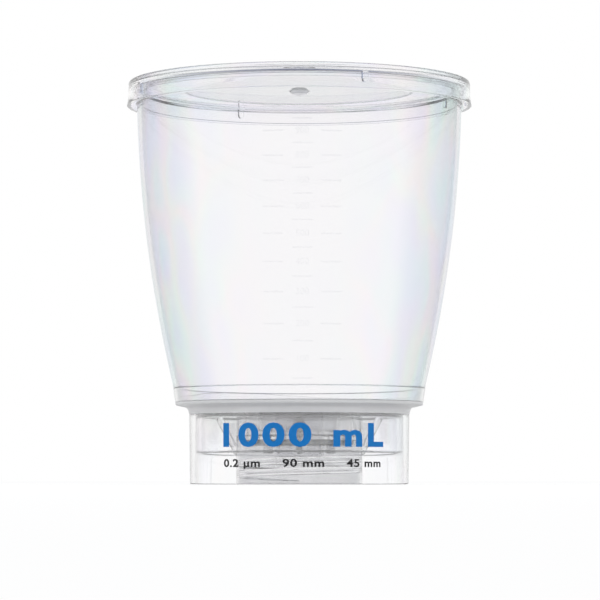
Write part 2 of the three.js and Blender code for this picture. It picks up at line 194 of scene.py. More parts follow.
def revolved(name, radius, height, angle, on_axis):
    """A surface of revolution about Z: x = r cos a, y = r sin a, z = height.

    radius and height are arrays of rows by columns, or one column that holds for every angle. If the first
    and the last row are on the axis, each is joined to one point, and otherwise the last joins the first.
    """
    rows, columns = radius.shape[0], len(angle)
    radius = np.broadcast_to(radius, (rows, columns))
    height = np.broadcast_to(height, (rows, columns))
    points = np.stack([radius * np.cos(angle), radius * np.sin(angle), height], -1).reshape(-1, 3)
    faces = grid_faces(rows, columns, not on_axis)
    if on_axis:
        faces = np.where(faces < columns, 0, np.minimum(faces, (rows - 1) * columns))
    used, faces = np.unique(faces, return_inverse=True)
    return mesh_of(name, points[used], faces.reshape(-1, 4))


def turned(name, outline, columns=COLUMNS):
    """A lathe surface about Z from an outline of radius and height."""
    on_axis = bool(outline[0, 0] < 1e-6 and outline[-1, 0] < 1e-6)
    return revolved(name, outline[:, :1], outline[:, 1:], even_angles(columns), on_axis)


def turned_along_y(name, outline, height, columns=SMALL_COLUMNS):
    """The same about an axis along +Y at a height: x = r cos a, y = distance, z = height - r sin a."""
    mesh = turned(name, outline, columns)
    x, y, z = coordinates(mesh).T
    return moved(mesh, np.stack([x, z, height * MM - y], 1))


def rod(radius, low, high, low_edge=0.1, high_edge=0.1):
    """Outline of a round rod from low to high with both rims rounded, to be turned."""
    return softened([[0, low, 0], [radius, low, low_edge], [radius, high, high_edge], [0, high, 0]])


def wall_rows(radius, height):
    """Rows of an outline along a curved wall, where no corner is rounded."""
    return np.stack([radius, height, np.zeros(len(height))], 1)


def coordinates(mesh):
    """The places of a mesh's points, in metres unless the mesh is still flat and in millimetres."""
    place = np.zeros(len(mesh.vertices) * 3, np.float32)
    mesh.vertices.foreach_get("co", place)
    return place.reshape(-1, 3)


def moved(mesh, place):
    """The mesh with its points at new places."""
    mesh.vertices.foreach_set("co", np.asarray(place, np.float32).ravel())
    mesh.update()
    return mesh


def shifted(mesh, offset):
    """The mesh moved by an offset in millimetres."""
    return moved(mesh, coordinates(mesh) + np.array(offset) * MM)


def spun(mesh, angle):
    """The mesh turned about Z: x becomes x cos a - y sin a, and y becomes x sin a + y cos a."""
    x, y, z = coordinates(mesh).T
    c, s = math.cos(angle), math.sin(angle)
    return moved(mesh, np.stack([x * c - y * s, x * s + y * c, z], 1))


def loft(name, sections):
    """A closed solid through equal sections, an array of sections by points by xyz, with both ends capped.

    The caps are fans about the middle of the end sections.
    """
    count, around = sections.shape[:2]
    points = sections.reshape(-1, 3)
    faces = grid_faces(count, around, False)
    first, last = sections[0].mean(0), sections[-1].mean(0)
    j = np.arange(around)
    j1 = (j + 1) % around
    low, high = len(points), len(points) + 1
    foot = np.stack([np.full(around, low), j1, j, j], 1)
    head = (count - 1) * around
    top = np.stack([np.full(around, high), head + j, head + j1, head + j1], 1)
    return mesh_of(name, np.concatenate([points, [first, last]]), np.concatenate([faces, foot, top]))


def box_mesh(name, low, high):
    """A plain block from its lowest to its highest corner."""
    low, high = np.array(low, float), np.array(high, float)
    ring = np.array([[0, 0], [1, 0], [1, 1], [0, 1]])
    sections = np.array([[[x, y, z] for x, y in ring] for z in (0, 1)], float)
    return loft(name, low + sections * (high - low))


def final_mesh(piece):
    """A copy of an object's mesh as its modifiers leave it."""
    return bpy.data.meshes.new_from_object(piece.evaluated_get(bpy.context.evaluated_depsgraph_get()))


def combined(mesh, others, operation):
    """The mesh joined with the others, or with them cut out, as one closed solid."""
    piece = piece_of("work", mesh)
    tools = [piece_of("tool", other) for other in others]
    for tool in tools:
        change = piece.modifiers.new("Combine", "BOOLEAN")
        change.operation = operation
        change.solver = "MANIFOLD"
        change.object = tool
    result = final_mesh(piece)
    for used in [piece, *tools]:
        bpy.data.objects.remove(used)
    return result


def finished(name, mesh, material, body, replaced=()):
    """Shades a mesh smooth up to its sharp edges and places it on its body in its finish."""
    mesh.name = name
    mesh.shade_smooth()
    mesh.set_sharp_from_angle(angle=SHARP)
    mesh.materials.clear()
    mesh.materials.append(material)
    piece = piece_of(name, mesh)
    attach(piece, body)
    if replaced:
        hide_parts(*replaced)
    return piece


def face_places(piece):
    """Radius, height, x and y of every face's middle in millimetres, and every face's normal."""
    faces = piece.data.polygons
    centre, normal = np.empty(len(faces) * 3), np.empty(len(faces) * 3)
    faces.foreach_get("center", centre)
    faces.foreach_get("normal", normal)
    x, y, z = (centre.reshape(-1, 3) / MM).T
    return np.hypot(x, y), z, x, y, normal.reshape(-1, 3)


def refinished(piece, material, chosen):
    """Gives the chosen faces a finish of their own."""
    mesh = piece.data
    slots = np.zeros(len(mesh.polygons), np.int32)
    mesh.polygons.foreach_get("material_index", slots)
    mesh.materials.append(material)
    slots[chosen] = len(mesh.materials) - 1
    mesh.polygons.foreach_set("material_index", slots)
    mesh.update()


# ---------------------------------------------------------------- the shapes


def wall_radius(height, inset=0.0):
    """Outer radius of the reservoir's bulging wall, a circular arc from the shoulder to the rim.

    With the arc's centre at radius c and height h, the radius at height z is
    c + sqrt((arc radius - inset)^2 - (z - h)^2).
    """
    low, high = np.array([SHOULDER_RADIUS, SHOULDER]), np.array([RIM_RADIUS, RIM])
    chord = high - low
    half = np.linalg.norm(chord) / 2
    inward = np.array([-chord[1], chord[0]]) / (2 * half)
    centre = (low + high) / 2 + inward * math.sqrt(WALL_ARC**2 - half**2)
    return centre[0] + np.sqrt((WALL_ARC - inset) ** 2 - (np.asarray(height) - centre[1]) ** 2)


def reservoir_mesh(wall, band):
    """The reservoir: tongue, shoulder, curved wall, thicker band below its rim, and a small ledge inside."""
    tongue_top, tongue_foot, tongue_wall = 46.65, 45.9, 0.6
    foot, joint, band_foot, top = RESERVOIR_LOW[2] + SEAM, COLLAR_TOP + 2 * SEAM, RIM - band, RIM - SEAM
    rows = 60
    outer = np.linspace(joint + 1.2, band_foot - 1.0, rows)
    inner = np.linspace(RIM - 1.0, joint + 1.2, rows)
    return turned("reservoir", softened(np.concatenate([
        [[tongue_foot, foot, 0.15], [tongue_top, joint, 0.1], [SHOULDER_RADIUS, joint, 0.09]],
        wall_rows(wall_radius(outer), outer),
        [[wall_radius(band_foot - 0.3), band_foot - 0.3, 0.25], [RIM_BAND_RADIUS, band_foot, 0.2]],
        [[RIM_BAND_RADIUS, top, 0.25], [RIM_RADIUS - wall, top, 0.25]],
        wall_rows(wall_radius(inner, wall), inner),
        [[wall_radius(joint + 0.3, wall), joint + 0.3, 0.1], [tongue_top - tongue_wall, joint + 0.1, 0.1]],
        [[tongue_foot - tongue_wall, foot, 0.15]],
    ])))


def skirt_wall_radius(height, outer=True):
    """Radius of the skirt's wall at a height.

    The inner face is straight. The outer face is straight up to the flare, and at the share s of the flare's
    height it has grown by reach (1 - sqrt(1 - s^2)), a quarter ellipse.
    """
    if not outer:
        return np.interp(height, [0, PLATE_UNDER], SKIRT_INNER_RADII)
    straight = np.interp(height, [0, FLARE_FOOT], [SKIRT_FOOT_RADIUS, SKIRT_TOP_RADIUS])
    rise = np.clip((height - FLARE_FOOT) / (PLATE_UNDER - FLARE_FOOT), 0, 1)
    return straight + FLARE_REACH * (1 - np.sqrt(1 - rise**2))


def base_outline():
    """Outline of the base: the plate's underside, spout, baffle, skirt, flare, collar and ring grooves."""
    spout_foot, baffle_foot = 10.9, 20.5
    rows = 14
    inner, outer = np.linspace(28.0, 1.5, rows), np.linspace(1.5, 25.0, rows)
    flare = FLARE_FOOT + (PLATE_UNDER - FLARE_FOOT) * np.linspace(0.15, 0.97, 8)
    grooves = [row for r in OUTER_GROOVE - 7.0 * np.arange(5) for row in (
        [r + GROOVE_HALF, PLATE_TOP, 0.12], [r + GROOVE_HALF, GROOVE_FLOOR, 0.12],
        [r - GROOVE_HALF, GROOVE_FLOOR, 0.12], [r - GROOVE_HALF, PLATE_TOP, 0.12])]
    return softened(np.concatenate([
        [[0, PLATE_UNDER, 0], [7.6, PLATE_UNDER, 0.25], [7.6, spout_foot, 0.25], [9.2, spout_foot, 0.25]],
        [[9.2, PLATE_UNDER, 0.35], [14.1, PLATE_UNDER, 0.35], [14.1, baffle_foot, 0.25]],
        [[15.6, baffle_foot, 0.25], [15.6, PLATE_UNDER, 0.35]],
        [[skirt_wall_radius(PLATE_UNDER, False), PLATE_UNDER, 0.2]],
        wall_rows(skirt_wall_radius(inner, False), inner),
        [[skirt_wall_radius(0, False), 0, 0.4], [SKIRT_FOOT_RADIUS, 0, 0.45]],
        wall_rows(skirt_wall_radius(outer), outer),
        [[SKIRT_TOP_RADIUS, FLARE_FOOT, 0]],
        wall_rows(skirt_wall_radius(flare), flare),
        [[46.9, PLATE_UNDER + 0.75, 0.25], [47.1, PLATE_UNDER + 1.2, 0.15], [47.21, SATIN_TOP, 0]],
        [[48.05, COLLAR_TOP, 0.14], [46.95, COLLAR_TOP, 0.14], [46.2, PLATE_TOP, 0.25]],
        grooves,
        [[0, PLATE_TOP, 0]],
    ]))


def filter_base_mesh(notch_half):
    """Plate, collar, spout, baffle and skirt. The skirt's foot is lifted over the port's notch.

    Over the notch the foot is at the port's height plus sqrt(half width^2 - sideways^2). The height of each
    skirt point is the foot's lift plus its own share of what is left below the plate, and its radius follows
    the wall at the new height.
    """
    outline = base_outline()
    radius, height = outline[:, :1], outline[:, 1:]
    behind, edge = math.pi / 2, math.asin(notch_half / NOTCH_RADIUS)
    just_out = edge + 0.0008
    angle = even_angles()
    angle = np.sort(np.concatenate([
        angle[np.abs(angle - behind) > edge + 0.004],
        behind + np.linspace(-edge, edge, 25), behind + np.array([-just_out, just_out])]))
    arch = np.sqrt(np.clip(notch_half**2 - (NOTCH_RADIUS * np.sin(angle - behind)) ** 2, 0, None))
    lift = np.where(np.abs(angle - behind) <= edge + 1e-9, PORT_HEIGHT + arch, 0.0)[None, :]
    rounded = 0.7  # the rounded foot below this height is lifted as it is
    share = np.clip((height - rounded) / (PLATE_UNDER - rounded), 0, 1)
    lifted = np.where(height < rounded, lift + height, (lift + rounded) * (1 - share) + PLATE_UNDER * share)
    on_skirt = (radius > 39.0) & (height < PLATE_UNDER - 0.05)
    new_height = np.where(on_skirt, lifted, height)
    follow = np.where(
        radius > (39.8 + SKIRT_FOOT_RADIUS) / 2,
        skirt_wall_radius(new_height) - skirt_wall_radius(height),
        skirt_wall_radius(new_height, False) - skirt_wall_radius(height, False))
    shell = revolved("filter_base", radius + np.where(on_skirt, follow, 0), new_height, angle, True)
    cutters = []
    for turn in np.arange(6) * (math.pi / 3):
        channel = box_mesh(
            "channel", (DRAIN_RING, -GROOVE_HALF, GROOVE_FLOOR), (OUTER_GROOVE, GROOVE_HALF, PLATE_TOP + 1))
        drain = turned("drain", rod(1.3, PLATE_UNDER - 1, PLATE_TOP + 1, 0.05, 0.05), 24)
        cutters.append(spun(channel, turn))
        cutters.append(shifted(drain, (DRAIN_RING * math.cos(turn), DRAIN_RING * math.sin(turn), 0)))
    return combined(shell, cutters, "DIFFERENCE")


def fin_mesh(name, outline, thickness, edge=0.3):
    """A plate that stands out along +X: an outline of radius and height, given a thickness across Y.

    The sections run from one side to the other, the end ones drawn in by the edge, so its rims are rounded.
    """
    outline = np.asarray(outline, float)
    middle = outline.mean(0)
    across = thickness / 2 * np.array([-1.0, -0.9, -0.6, 0.6, 0.9, 1.0])
    drawn_in = edge * np.array([1.0, 0.35, 0.0, 0.0, 0.35, 1.0])
    away = outline - middle
    away = away / np.linalg.norm(away, axis=1, keepdims=True)
    sections = [np.stack([*(outline - away * d).T, np.full(len(outline), y)], 1)[:, [0, 2, 1]]
                for y, d in zip(across, drawn_in)]
    return loft(name, np.array(sections)[:, ::-1])


def gusset_meshes(angle):
    """One brace between neck and deck: a thin web with a thicker band down its sloping edge."""
    root, top = NECK_RADIUS - 0.5, DECK_UNDER + 0.5
    slope = [[root, 11.4, 0], [NECK_RADIUS + 1.0, 11.9, 1.1], [25.9, 14.0, 0.8], [32.7, top, 0]]
    web = fin_mesh("web", softened([*slope, [root, top, 0]], 4), 1.4)
    band = fin_mesh("band", softened([*slope, [29.6, top, 0], [root, 14.6, 0.5]], 4), 2.4, 0.9)
    return [spun(web, angle), spun(band, angle)]


def thread_mesh():
    """The screw thread for 45 mm bottle necks: a rounded ridge carried along a helix inside the neck.

    At share t of the way the angle is start + 2 pi turns t and the height rises by pitch a turn. The ridge
    grows out of the wall over the first quarter turn and sinks back over the last.
    """
    turns, pitch, depth, buried, first_height = 2.0, 4.0, 1.9, 0.45, 2.6
    t = np.linspace(0, 1, int(turns * 96) + 1)
    across = np.array([-1.3, -1.0, -0.72, -0.5, -0.2, 0.2, 0.5, 0.72, 1.0, 1.3])
    proud = np.array([0.0, 0.42, 0.8, 0.96, 1.0, 1.0, 0.96, 0.8, 0.42, 0.0])
    rise = 0.3 + 0.7 * np.clip(np.minimum(t, 1 - t) * turns / 0.25, 0, 1)
    ridge = np.concatenate([across, across[::-1] * 0.6])
    out = np.concatenate([proud * depth, np.full(len(across), -buried)])
    radius = NECK_BORE - out[None, :] * np.where(out > 0, rise[:, None], 1.0)
    angle = (2 * np.pi * turns * t - FRONT)[:, None]
    height = NECK_LOW[2] + first_height + ridge[None, :] + (turns * pitch * t)[:, None]
    return loft("thread", np.stack([radius * np.cos(angle), radius * np.sin(angle), height], -1))


def neck_adapter_mesh(port_radius, port_bore):
    """Ring wall, deck, neck and web, joined with the gussets, thread, vent nipples and vacuum port."""
    hole, neck_foot, wall_foot, deck_top, port_end = 9.5, 0.5, 11.8, PLATE_UNDER - SEAM, NECK_HIGH[1]
    shell = turned("neck_adapter", softened([
        [hole, WEB_UNDER, 0.2], [NECK_BORE, WEB_UNDER, 0.25], [NECK_BORE, neck_foot, 0.4],
        [NECK_RADIUS, neck_foot, 0.4], [NECK_RADIUS, DECK_UNDER, 0.5], [37.3, DECK_UNDER, 0.9],
        [37.3, wall_foot, 0.9], [39.4, wall_foot, 0.9], [39.4, deck_top, 0.2],
        [20.2, deck_top, 0.3], [20.2, WEB_TOP, 0.6], [hole, WEB_TOP, 0.2],
    ], 6))
    port = turned_along_y("port", rod(port_radius, NECK_RADIUS - 0.5, port_end, 0.1, 0.4), PORT_HEIGHT)
    added = [port, thread_mesh(), *gusset_meshes(0), *gusset_meshes(math.pi), *gusset_meshes(FRONT)]
    cutters = [turned_along_y("bore", rod(port_bore, 19.0, port_end + 1), PORT_HEIGHT)]
    for x in (-NIPPLE_CENTRE, NIPPLE_CENTRE):
        nipple = turned("nipple", rod(NIPPLE_RADIUS, 12.2, WEB_TOP - 0.4, 0.35), 32)
        vent = turned("vent", rod(1.1, 11.0, WEB_TOP + 1), 32)
        added.append(shifted(nipple, (x, 0, 0)))
        cutters.append(shifted(vent, (x, 0, 0)))
    return combined(combined(shell, added, "UNION"), cutters, "DIFFERENCE")


def lid_mesh(rib_count, rib_angle):
    """The lid: skirt, raised rim, panel with its stacking recess, locating ring, gate mark and ribs."""
    inner = LID_SEAT + LID_WALL
    outer = inner + LID_WALL
    foot, top = LID_LOW[2], LID_HIGH[2]
    ring_out = RIM_RADIUS - RESERVOIR_WALL - LID_GAP
    ring_in = ring_out - 1.4
    disc, panel = RIM + 0.3, RIM + 1.8
    shell = turned("lid", softened([
        [0, disc - 1.1, 0], [0.7, disc - 1.45, 0.5], [2.6, disc - 1.25, 0.7], [3.8, disc, 0.35],
        [43.2, disc, 0.25], [43.4, RIM, 0.25], [ring_in, RIM, 0.25], [ring_in + 0.35, RIM - 1.4, 0.3],
        [ring_out - 0.3, RIM - 1.4, 0.3], [ring_out, RIM, 0.2], [LID_SEAT, RIM, 0.15],
        [LID_SEAT + 0.1, RIM + 0.75, 0.2], [inner - 0.55, RIM + 0.75, 0.06], [inner, RIM + 0.2, 0.06],
        [inner, RIM - 2.6, 0.8], [inner + 0.5, foot, 0.14], [outer + 0.5, foot, 0.2],
        [outer + 0.15, RIM - 2.6, 1.0], [outer, RIM + 0.6, 0.8], [outer - 0.1, top, 1.5],
        [outer - 2.4, top, 0.4], [outer - 2.75, panel, 0.45], [43.8, panel, 0.3],
        [43.4, panel - 0.5, 0.3], [0, panel - 0.5, 0],
    ], 6))
    half, depth = 1.1, LID_WALL + 0.7
    shape = np.array([[-half, 0.8], [-half, -2.2], [-0.85 * half, -2.9], [-0.45 * half, -3.4], [0, -3.5],
                      [0.45 * half, -3.4], [0.85 * half, -2.9], [half, -2.2], [half, 0.8]])
    near = np.stack([np.full(len(shape), LID_SEAT), shape[:, 0], RIM + shape[:, 1]], 1)
    sections = np.array([near, near + [depth, 0, 0]])
    ribs = [spun(loft("rib", sections), FRONT + rib_angle + turn)
            for turn in np.arange(rib_count) * (2 * math.pi / rib_count)]
    return combined(shell, ribs, "UNION")


def volume_heights(volumes, wall):
    """Heights at which the reservoir holds these volumes in millilitres: the inner circle's area summed up."""
    z = np.linspace(MEMBRANE_HIGH[2], RIM, 2400)
    area = math.pi * (wall_radius(z) - wall) ** 2
    cubic_millimetres = 1000  # in a millilitre
    filled = np.cumsum(area) * (z[1] - z[0]) / cubic_millimetres
    return np.interp(volumes, filled, z)


def words_mesh(name, words, size, depth, bold=0.0, wide=1.0, spacing=1.0):
    """Flat numerals as a mesh, centred, with their width along X and height along Y, in millimetres."""
    curve = bpy.data.curves.new(name, "FONT")
    curve.body = words
    curve.size = size
    curve.extrude = depth / 2
    curve.offset = bold
    curve.space_character = spacing
    curve.align_x = curve.align_y = "CENTER"
    curve.resolution_u = 4
    holder = piece_of(name, curve)
    mesh = final_mesh(holder)
    bpy.data.objects.remove(holder)
    return moved(mesh, coordinates(mesh) * [wide, 1, 1])


def dash_mesh(name, length, height, depth):
    """A bar with rounded ends, centred, in millimetres, from a stadium outline given a depth along Z."""
    ends = 0.35
    turn = np.linspace(-math.pi / 2, math.pi / 2, 7)
    right = np.stack([length / 2 - ends + ends * np.cos(turn), height / 2 * np.sin(turn)], 1)
    outline = np.concatenate([right, -right])
    sections = [np.concatenate([outline, np.full((len(outline), 1), z)], 1) for z in (-depth / 2, depth / 2)]
    mesh = loft(name, np.array(sections))
    return moved(mesh, coordinates(mesh) * (1 / MM))


def wrapped(mesh, radius_at, height, offset, across=0.0):
    """A flat mesh bent onto a round wall at the front.

    It is first cut across at every step, so that it can follow the curve. A point x across and y up then goes
    to the angle x / r and the height y, and its depth is added to the wall's radius.
    """
    flat_x = coordinates(mesh)[:, 0].astype(float)
    work = bmesh.new()
    work.from_mesh(mesh)
    for x in np.arange(math.floor(flat_x.min() / BEND_STEP) * BEND_STEP, flat_x.max(), BEND_STEP):
        geometry = work.verts[:] + work.edges[:] + work.faces[:]
        bmesh.ops.bisect_plane(work, geom=geometry, plane_co=(x, 0, 0), plane_no=(1, 0, 0))
    bmesh.ops.remove_doubles(work, verts=work.verts[:], dist=1e-4)
    work.to_mesh(mesh)
    work.free()
    x, y, z = coordinates(mesh).astype(float).T
    z_on_wall = height + y
    wall = radius_at(z_on_wall)
    angle = FRONT + (across + x) / wall
    r = wall + offset + z
    return moved(mesh, np.stack([r * np.cos(angle), r * np.sin(angle), z_on_wall], 1) * MM)


def joined(name, meshes):
    """Several meshes as one, by stacking their points and faces."""
    work = bmesh.new()
    for mesh in meshes:
        work.from_mesh(mesh)
    result = bpy.data.meshes.new(name)
    work.to_mesh(result)
    work.free()
    return result


def gap_radius(height):
    """Radius of the middle of the gap between collar and tongue, which leans out evenly with height."""
    return np.interp(height, [PLATE_TOP, COLLAR_TOP], COLLAR_GAP)


def weld_mesh():
    """The weld between collar and tongue: a ring whose upper edge rises and falls round the part.

    Its height over the plate is a few bell curves of the angle, exp(-(turn / width)^2).
    """
    angle = even_angles(360)
    top = np.full(len(angle), PLATE_TOP + 0.1)
    for middle, width, rise in ((-128, 38, 2.6), (-20, 30, 1.1), (70, 44, 2.2), (165, 26, 1.4)):
        turn = (np.degrees(angle) - middle + 180) % 360 - 180
        top = top + rise * np.exp(-((turn / width) ** 2))
    top = (top + 0.06 * np.sin(angle * 23))[None, :]
    foot = PLATE_TOP + 0.05
    share = np.array([0, 0, 0.5, 0.95, 1.0, 0.95, 0.5])[:, None]
    half = 0.12
    side = half * np.array([-1, 1, 1, 1, 0, -1, -1])[:, None]
    height = foot + (top - foot) * share
    return revolved("weld", gap_radius(height) + side, height, angle, False)


def bubble_meshes(count):
    """Small air bubbles caught in the weld on one side, as squashed balls at seeded random places."""
    random = np.random.default_rng(7)
    bubbles = []
    for _ in range(count):
        size = random.uniform(0.05, 0.12)
        height = PLATE_TOP + random.uniform(0.6, 2.9)
        turn = math.radians(random.normal(-146, 8))
        radius = float(gap_radius(height))
        ball = turned("bubble", rod(size, -size, size, 0.8 * size, 0.8 * size), 10)
        bubbles.append(shifted(ball, (radius * math.cos(turn), radius * math.sin(turn), height)))
    return bubbles


# ---------------------------------------------------------------- finishes


def cleared(owner):
    """The emptied node tree of a material or a world."""
    owner.use_nodes = True
    owner.node_tree.nodes.clear()
    return owner.node_tree


def put(tree, node, values):
    """Sets numbers and colours on a node's sockets, and links outputs of other nodes to them."""
    for socket, value in values.items():
        if isinstance(value, bpy.types.NodeSocket):
            tree.links.new(value, node.inputs[socket])
        else:
            node.inputs[socket].default_value = value


def node_of(tree, kind, values, **options):
    """A new node with these options and inputs."""
    node = tree.nodes.new(kind)
    for option, value in options.items():
        setattr(node, option, value)
    put(tree, node, values)
    return node


def worked_out(tree, operation, *values):
    """The result of a Math node on the values."""
    return node_of(tree, "ShaderNodeMath", dict(enumerate(values)), operation=operation).outputs[0]


def mixed(tree, share, first, second):
    """The first shader where the share is 0 and the second where it is 1."""
    return node_of(tree, "ShaderNodeMixShader", {0: share, 1: first, 2: second}).outputs[0]


def shader(name):
    """A new material, its node tree and its one principled surface."""
    material = bpy.data.materials.new(name)
    tree = cleared(material)
    surface = node_of(tree, "ShaderNodeBsdfPrincipled", {})
    node_of(tree, "ShaderNodeOutputMaterial", {"Surface": surface.outputs[0]})
    return material, tree, surface


def noise(tree, scale, detail, stretch=(1, 1, 1)):
    """Noise on Object coordinates, with its grain stretched along an axis."""
    place = node_of(tree, "ShaderNodeTexCoord", {}).outputs["Object"]
    mapping = node_of(tree, "ShaderNodeMapping", {"Vector": place, "Scale": stretch})
    return node_of(tree, "ShaderNodeTexNoise", {
        "Vector": mapping.outputs["Vector"], "Scale": scale, "Detail": detail}).outputs["Fac"]


def ramp(tree, factor, stops):
    """A colour ramp of (position, colour) stops."""
    colours = node_of(tree, "ShaderNodeValToRGB", {"Fac": factor})
    band = colours.color_ramp
    first, last = band.elements[0], band.elements[-1]
    first.position, last.position = stops[0][0], stops[-1][0]
    first.color, last.color = (*stops[0][1], 1), (*stops[-1][1], 1)
    for position, colour in stops[1:-1]:
        band.elements.new(position).color = (*colour, 1)
    return colours.outputs["Color"]


def mottled(tree, grain, low, high, colour, dim):
    """The colour where the grain is above high, and that colour times dim where it is below low."""
    return ramp(tree, grain, [(low, tuple(c * dim for c in colour)), (high, colour)])


def bump(tree, height, strength, distance):
    """Normals of a surface that a height from 0 to 1 raises by up to the distance, in metres."""
    values = {"Height": height, "Strength": strength, "Distance": distance}
    return node_of(tree, "ShaderNodeBump", values).outputs["Normal"]


STRESS_COLOURS = (
    (0.30, (0.84, 0.93, 1.0)), (0.40, (0.95, 0.88, 1.0)), (0.48, (1.0, 0.93, 0.90)),
    (0.56, (0.86, 1.0, 0.92)), (0.68, (0.84, 0.88, 1.0)),
)

# How far a graded wall's colour has gone from its middle to its edge tone, at shares of the way to edge-on. It is
# painted light: a faint painted highlight a little off square on, then painted shade that darkens the limbs, far
# past the edge tone at the rim.
LIMB_SHADE_GRADES = (
    (0.0, 0.0), (0.24, -0.05), (0.36, 0.5), (0.46, 0.75), (0.56, 1.0),
    (0.68, 1.3), (0.77, 1.9), (0.84, 2.9), (0.92, 4.2), (1.0, 5.0),
)


def clear_styrene(name, tones, stress=0.0, flow=0.02, rough=0.0, clear=1.0, bend=1.59):
    """Clear moulded polystyrene: see-through, with faint stress colours and shallow flow marks.

    tones are (share, colour) stops from 0, seen square on, to 1, seen edge-on. The greyer edge-on tones are
    a little the longer path through the plastic and mostly painted shade, standing in for the dark that the
    limbs refract. stress and flow are the strengths of the stress colours and flow marks, rough is the
    roughness, clear the share of light let through, and bend the refractive index. With a lower index, a thin
    wall mirrors less of what stands round it.
    """
    material, tree, surface = shader(name)
    facing = node_of(tree, "ShaderNodeLayerWeight", {"Blend": 0.5}).outputs["Facing"]
    tints = ramp(tree, noise(tree, scale=44, detail=1.0, stretch=(1, 1, 0.5)), STRESS_COLOURS)
    stressed = node_of(
        tree, "ShaderNodeMix", {0: worked_out(tree, "MULTIPLY", facing, stress)},
        data_type="RGBA", blend_type="MULTIPLY")
    first, second = (socket for socket in stressed.inputs if socket.type == "RGBA")
    tree.links.new(ramp(tree, facing, tones), first)
    tree.links.new(tints, second)
    flow_marks = noise(tree, scale=60, detail=2, stretch=(1, 1, 0.4))
    put(tree, surface, {
        "Base Color": next(socket for socket in stressed.outputs if socket.type == "RGBA"),
        "Normal": bump(tree, flow_marks, flow, 0.0004),
        "Transmission Weight": clear, "IOR": bend, "Roughness": rough, "Specular IOR Level": 0.25})
    return material


def plain(middle, edge):
    """Tones that change evenly from square on to edge-on."""
    return [(0, middle), (1, edge)]


def graded(middle, edge):
    """Tones of a wall with painted shade at its limbs: pale, then greyer, and past the edge tone at the very rim,
    under its bright reflection.

    Each is middle + (edge - middle) times its grade.
    """
    middle, edge = np.array(middle), np.array(edge)
    return [(share, tuple(np.clip(middle + (edge - middle) * grade, 0, 1))) for share, grade in LIMB_SHADE_GRADES]


def porous_white(name, colour, scale, depth):
    """A matte white porous film or plug: fine grain in colour and surface."""
    material, tree, surface = shader(name)
    grain = noise(tree, scale, 6)
    put(tree, surface, {
        "Base Color": mottled(tree, grain, 0.35, 0.65, colour, 0.95), "Normal": bump(tree, grain, 0.3, depth),
        "Roughness": 0.9, "Specular IOR Level": 0.3})
    return material


def gasket_foam(name, colour):
    """Soft closed-cell foam with fine open pores on its cut faces."""
    material, tree, surface = shader(name)
    place = node_of(tree, "ShaderNodeTexCoord", {}).outputs["Object"]
    cells = node_of(tree, "ShaderNodeTexVoronoi", {"Vector": place, "Scale": 2600}).outputs["Distance"]
    put(tree, surface, {
        "Base Color": mottled(tree, cells, 0.1, 0.5, colour, 0.86), "Normal": bump(tree, cells, 0.4, 0.0001),
        "Roughness": 0.75})
    return material


def milky_plastic(name, colour):
    """Natural polypropylene: milky, partly see-through, satin, with faint mould texture."""
    material, tree, surface = shader(name)
    cloud = noise(tree, scale=240, detail=3)
    put(tree, surface, {
        "Base Color": mottled(tree, cloud, 0.3, 0.7, colour, 0.97), "Normal": bump(tree, cloud, 0.1, 0.0001),
        "Roughness": 0.32, "Transmission Weight": 0.2, "IOR": 1.49,
        "Subsurface Weight": 0.3, "Subsurface Radius": (1.0, 1.0, 1.0), "Subsurface Scale": 0.002})
    return material


def printed_ink(name, colour):
    """Screen-printed ink: a flat satin film, a little uneven in colour and surface."""
    material, tree, surface = shader(name)
    film = noise(tree, scale=900, detail=4)
    light = tuple(min(1.0, c * 1.06 + 0.004) for c in colour)
    put(tree, surface, {
        "Base Color": ramp(tree, film, [(0.35, colour), (0.65, light)]), "Normal": bump(tree, film, 0.05, 0.00005),
        "Roughness": 0.45, "Specular IOR Level": 0.25})
    return material


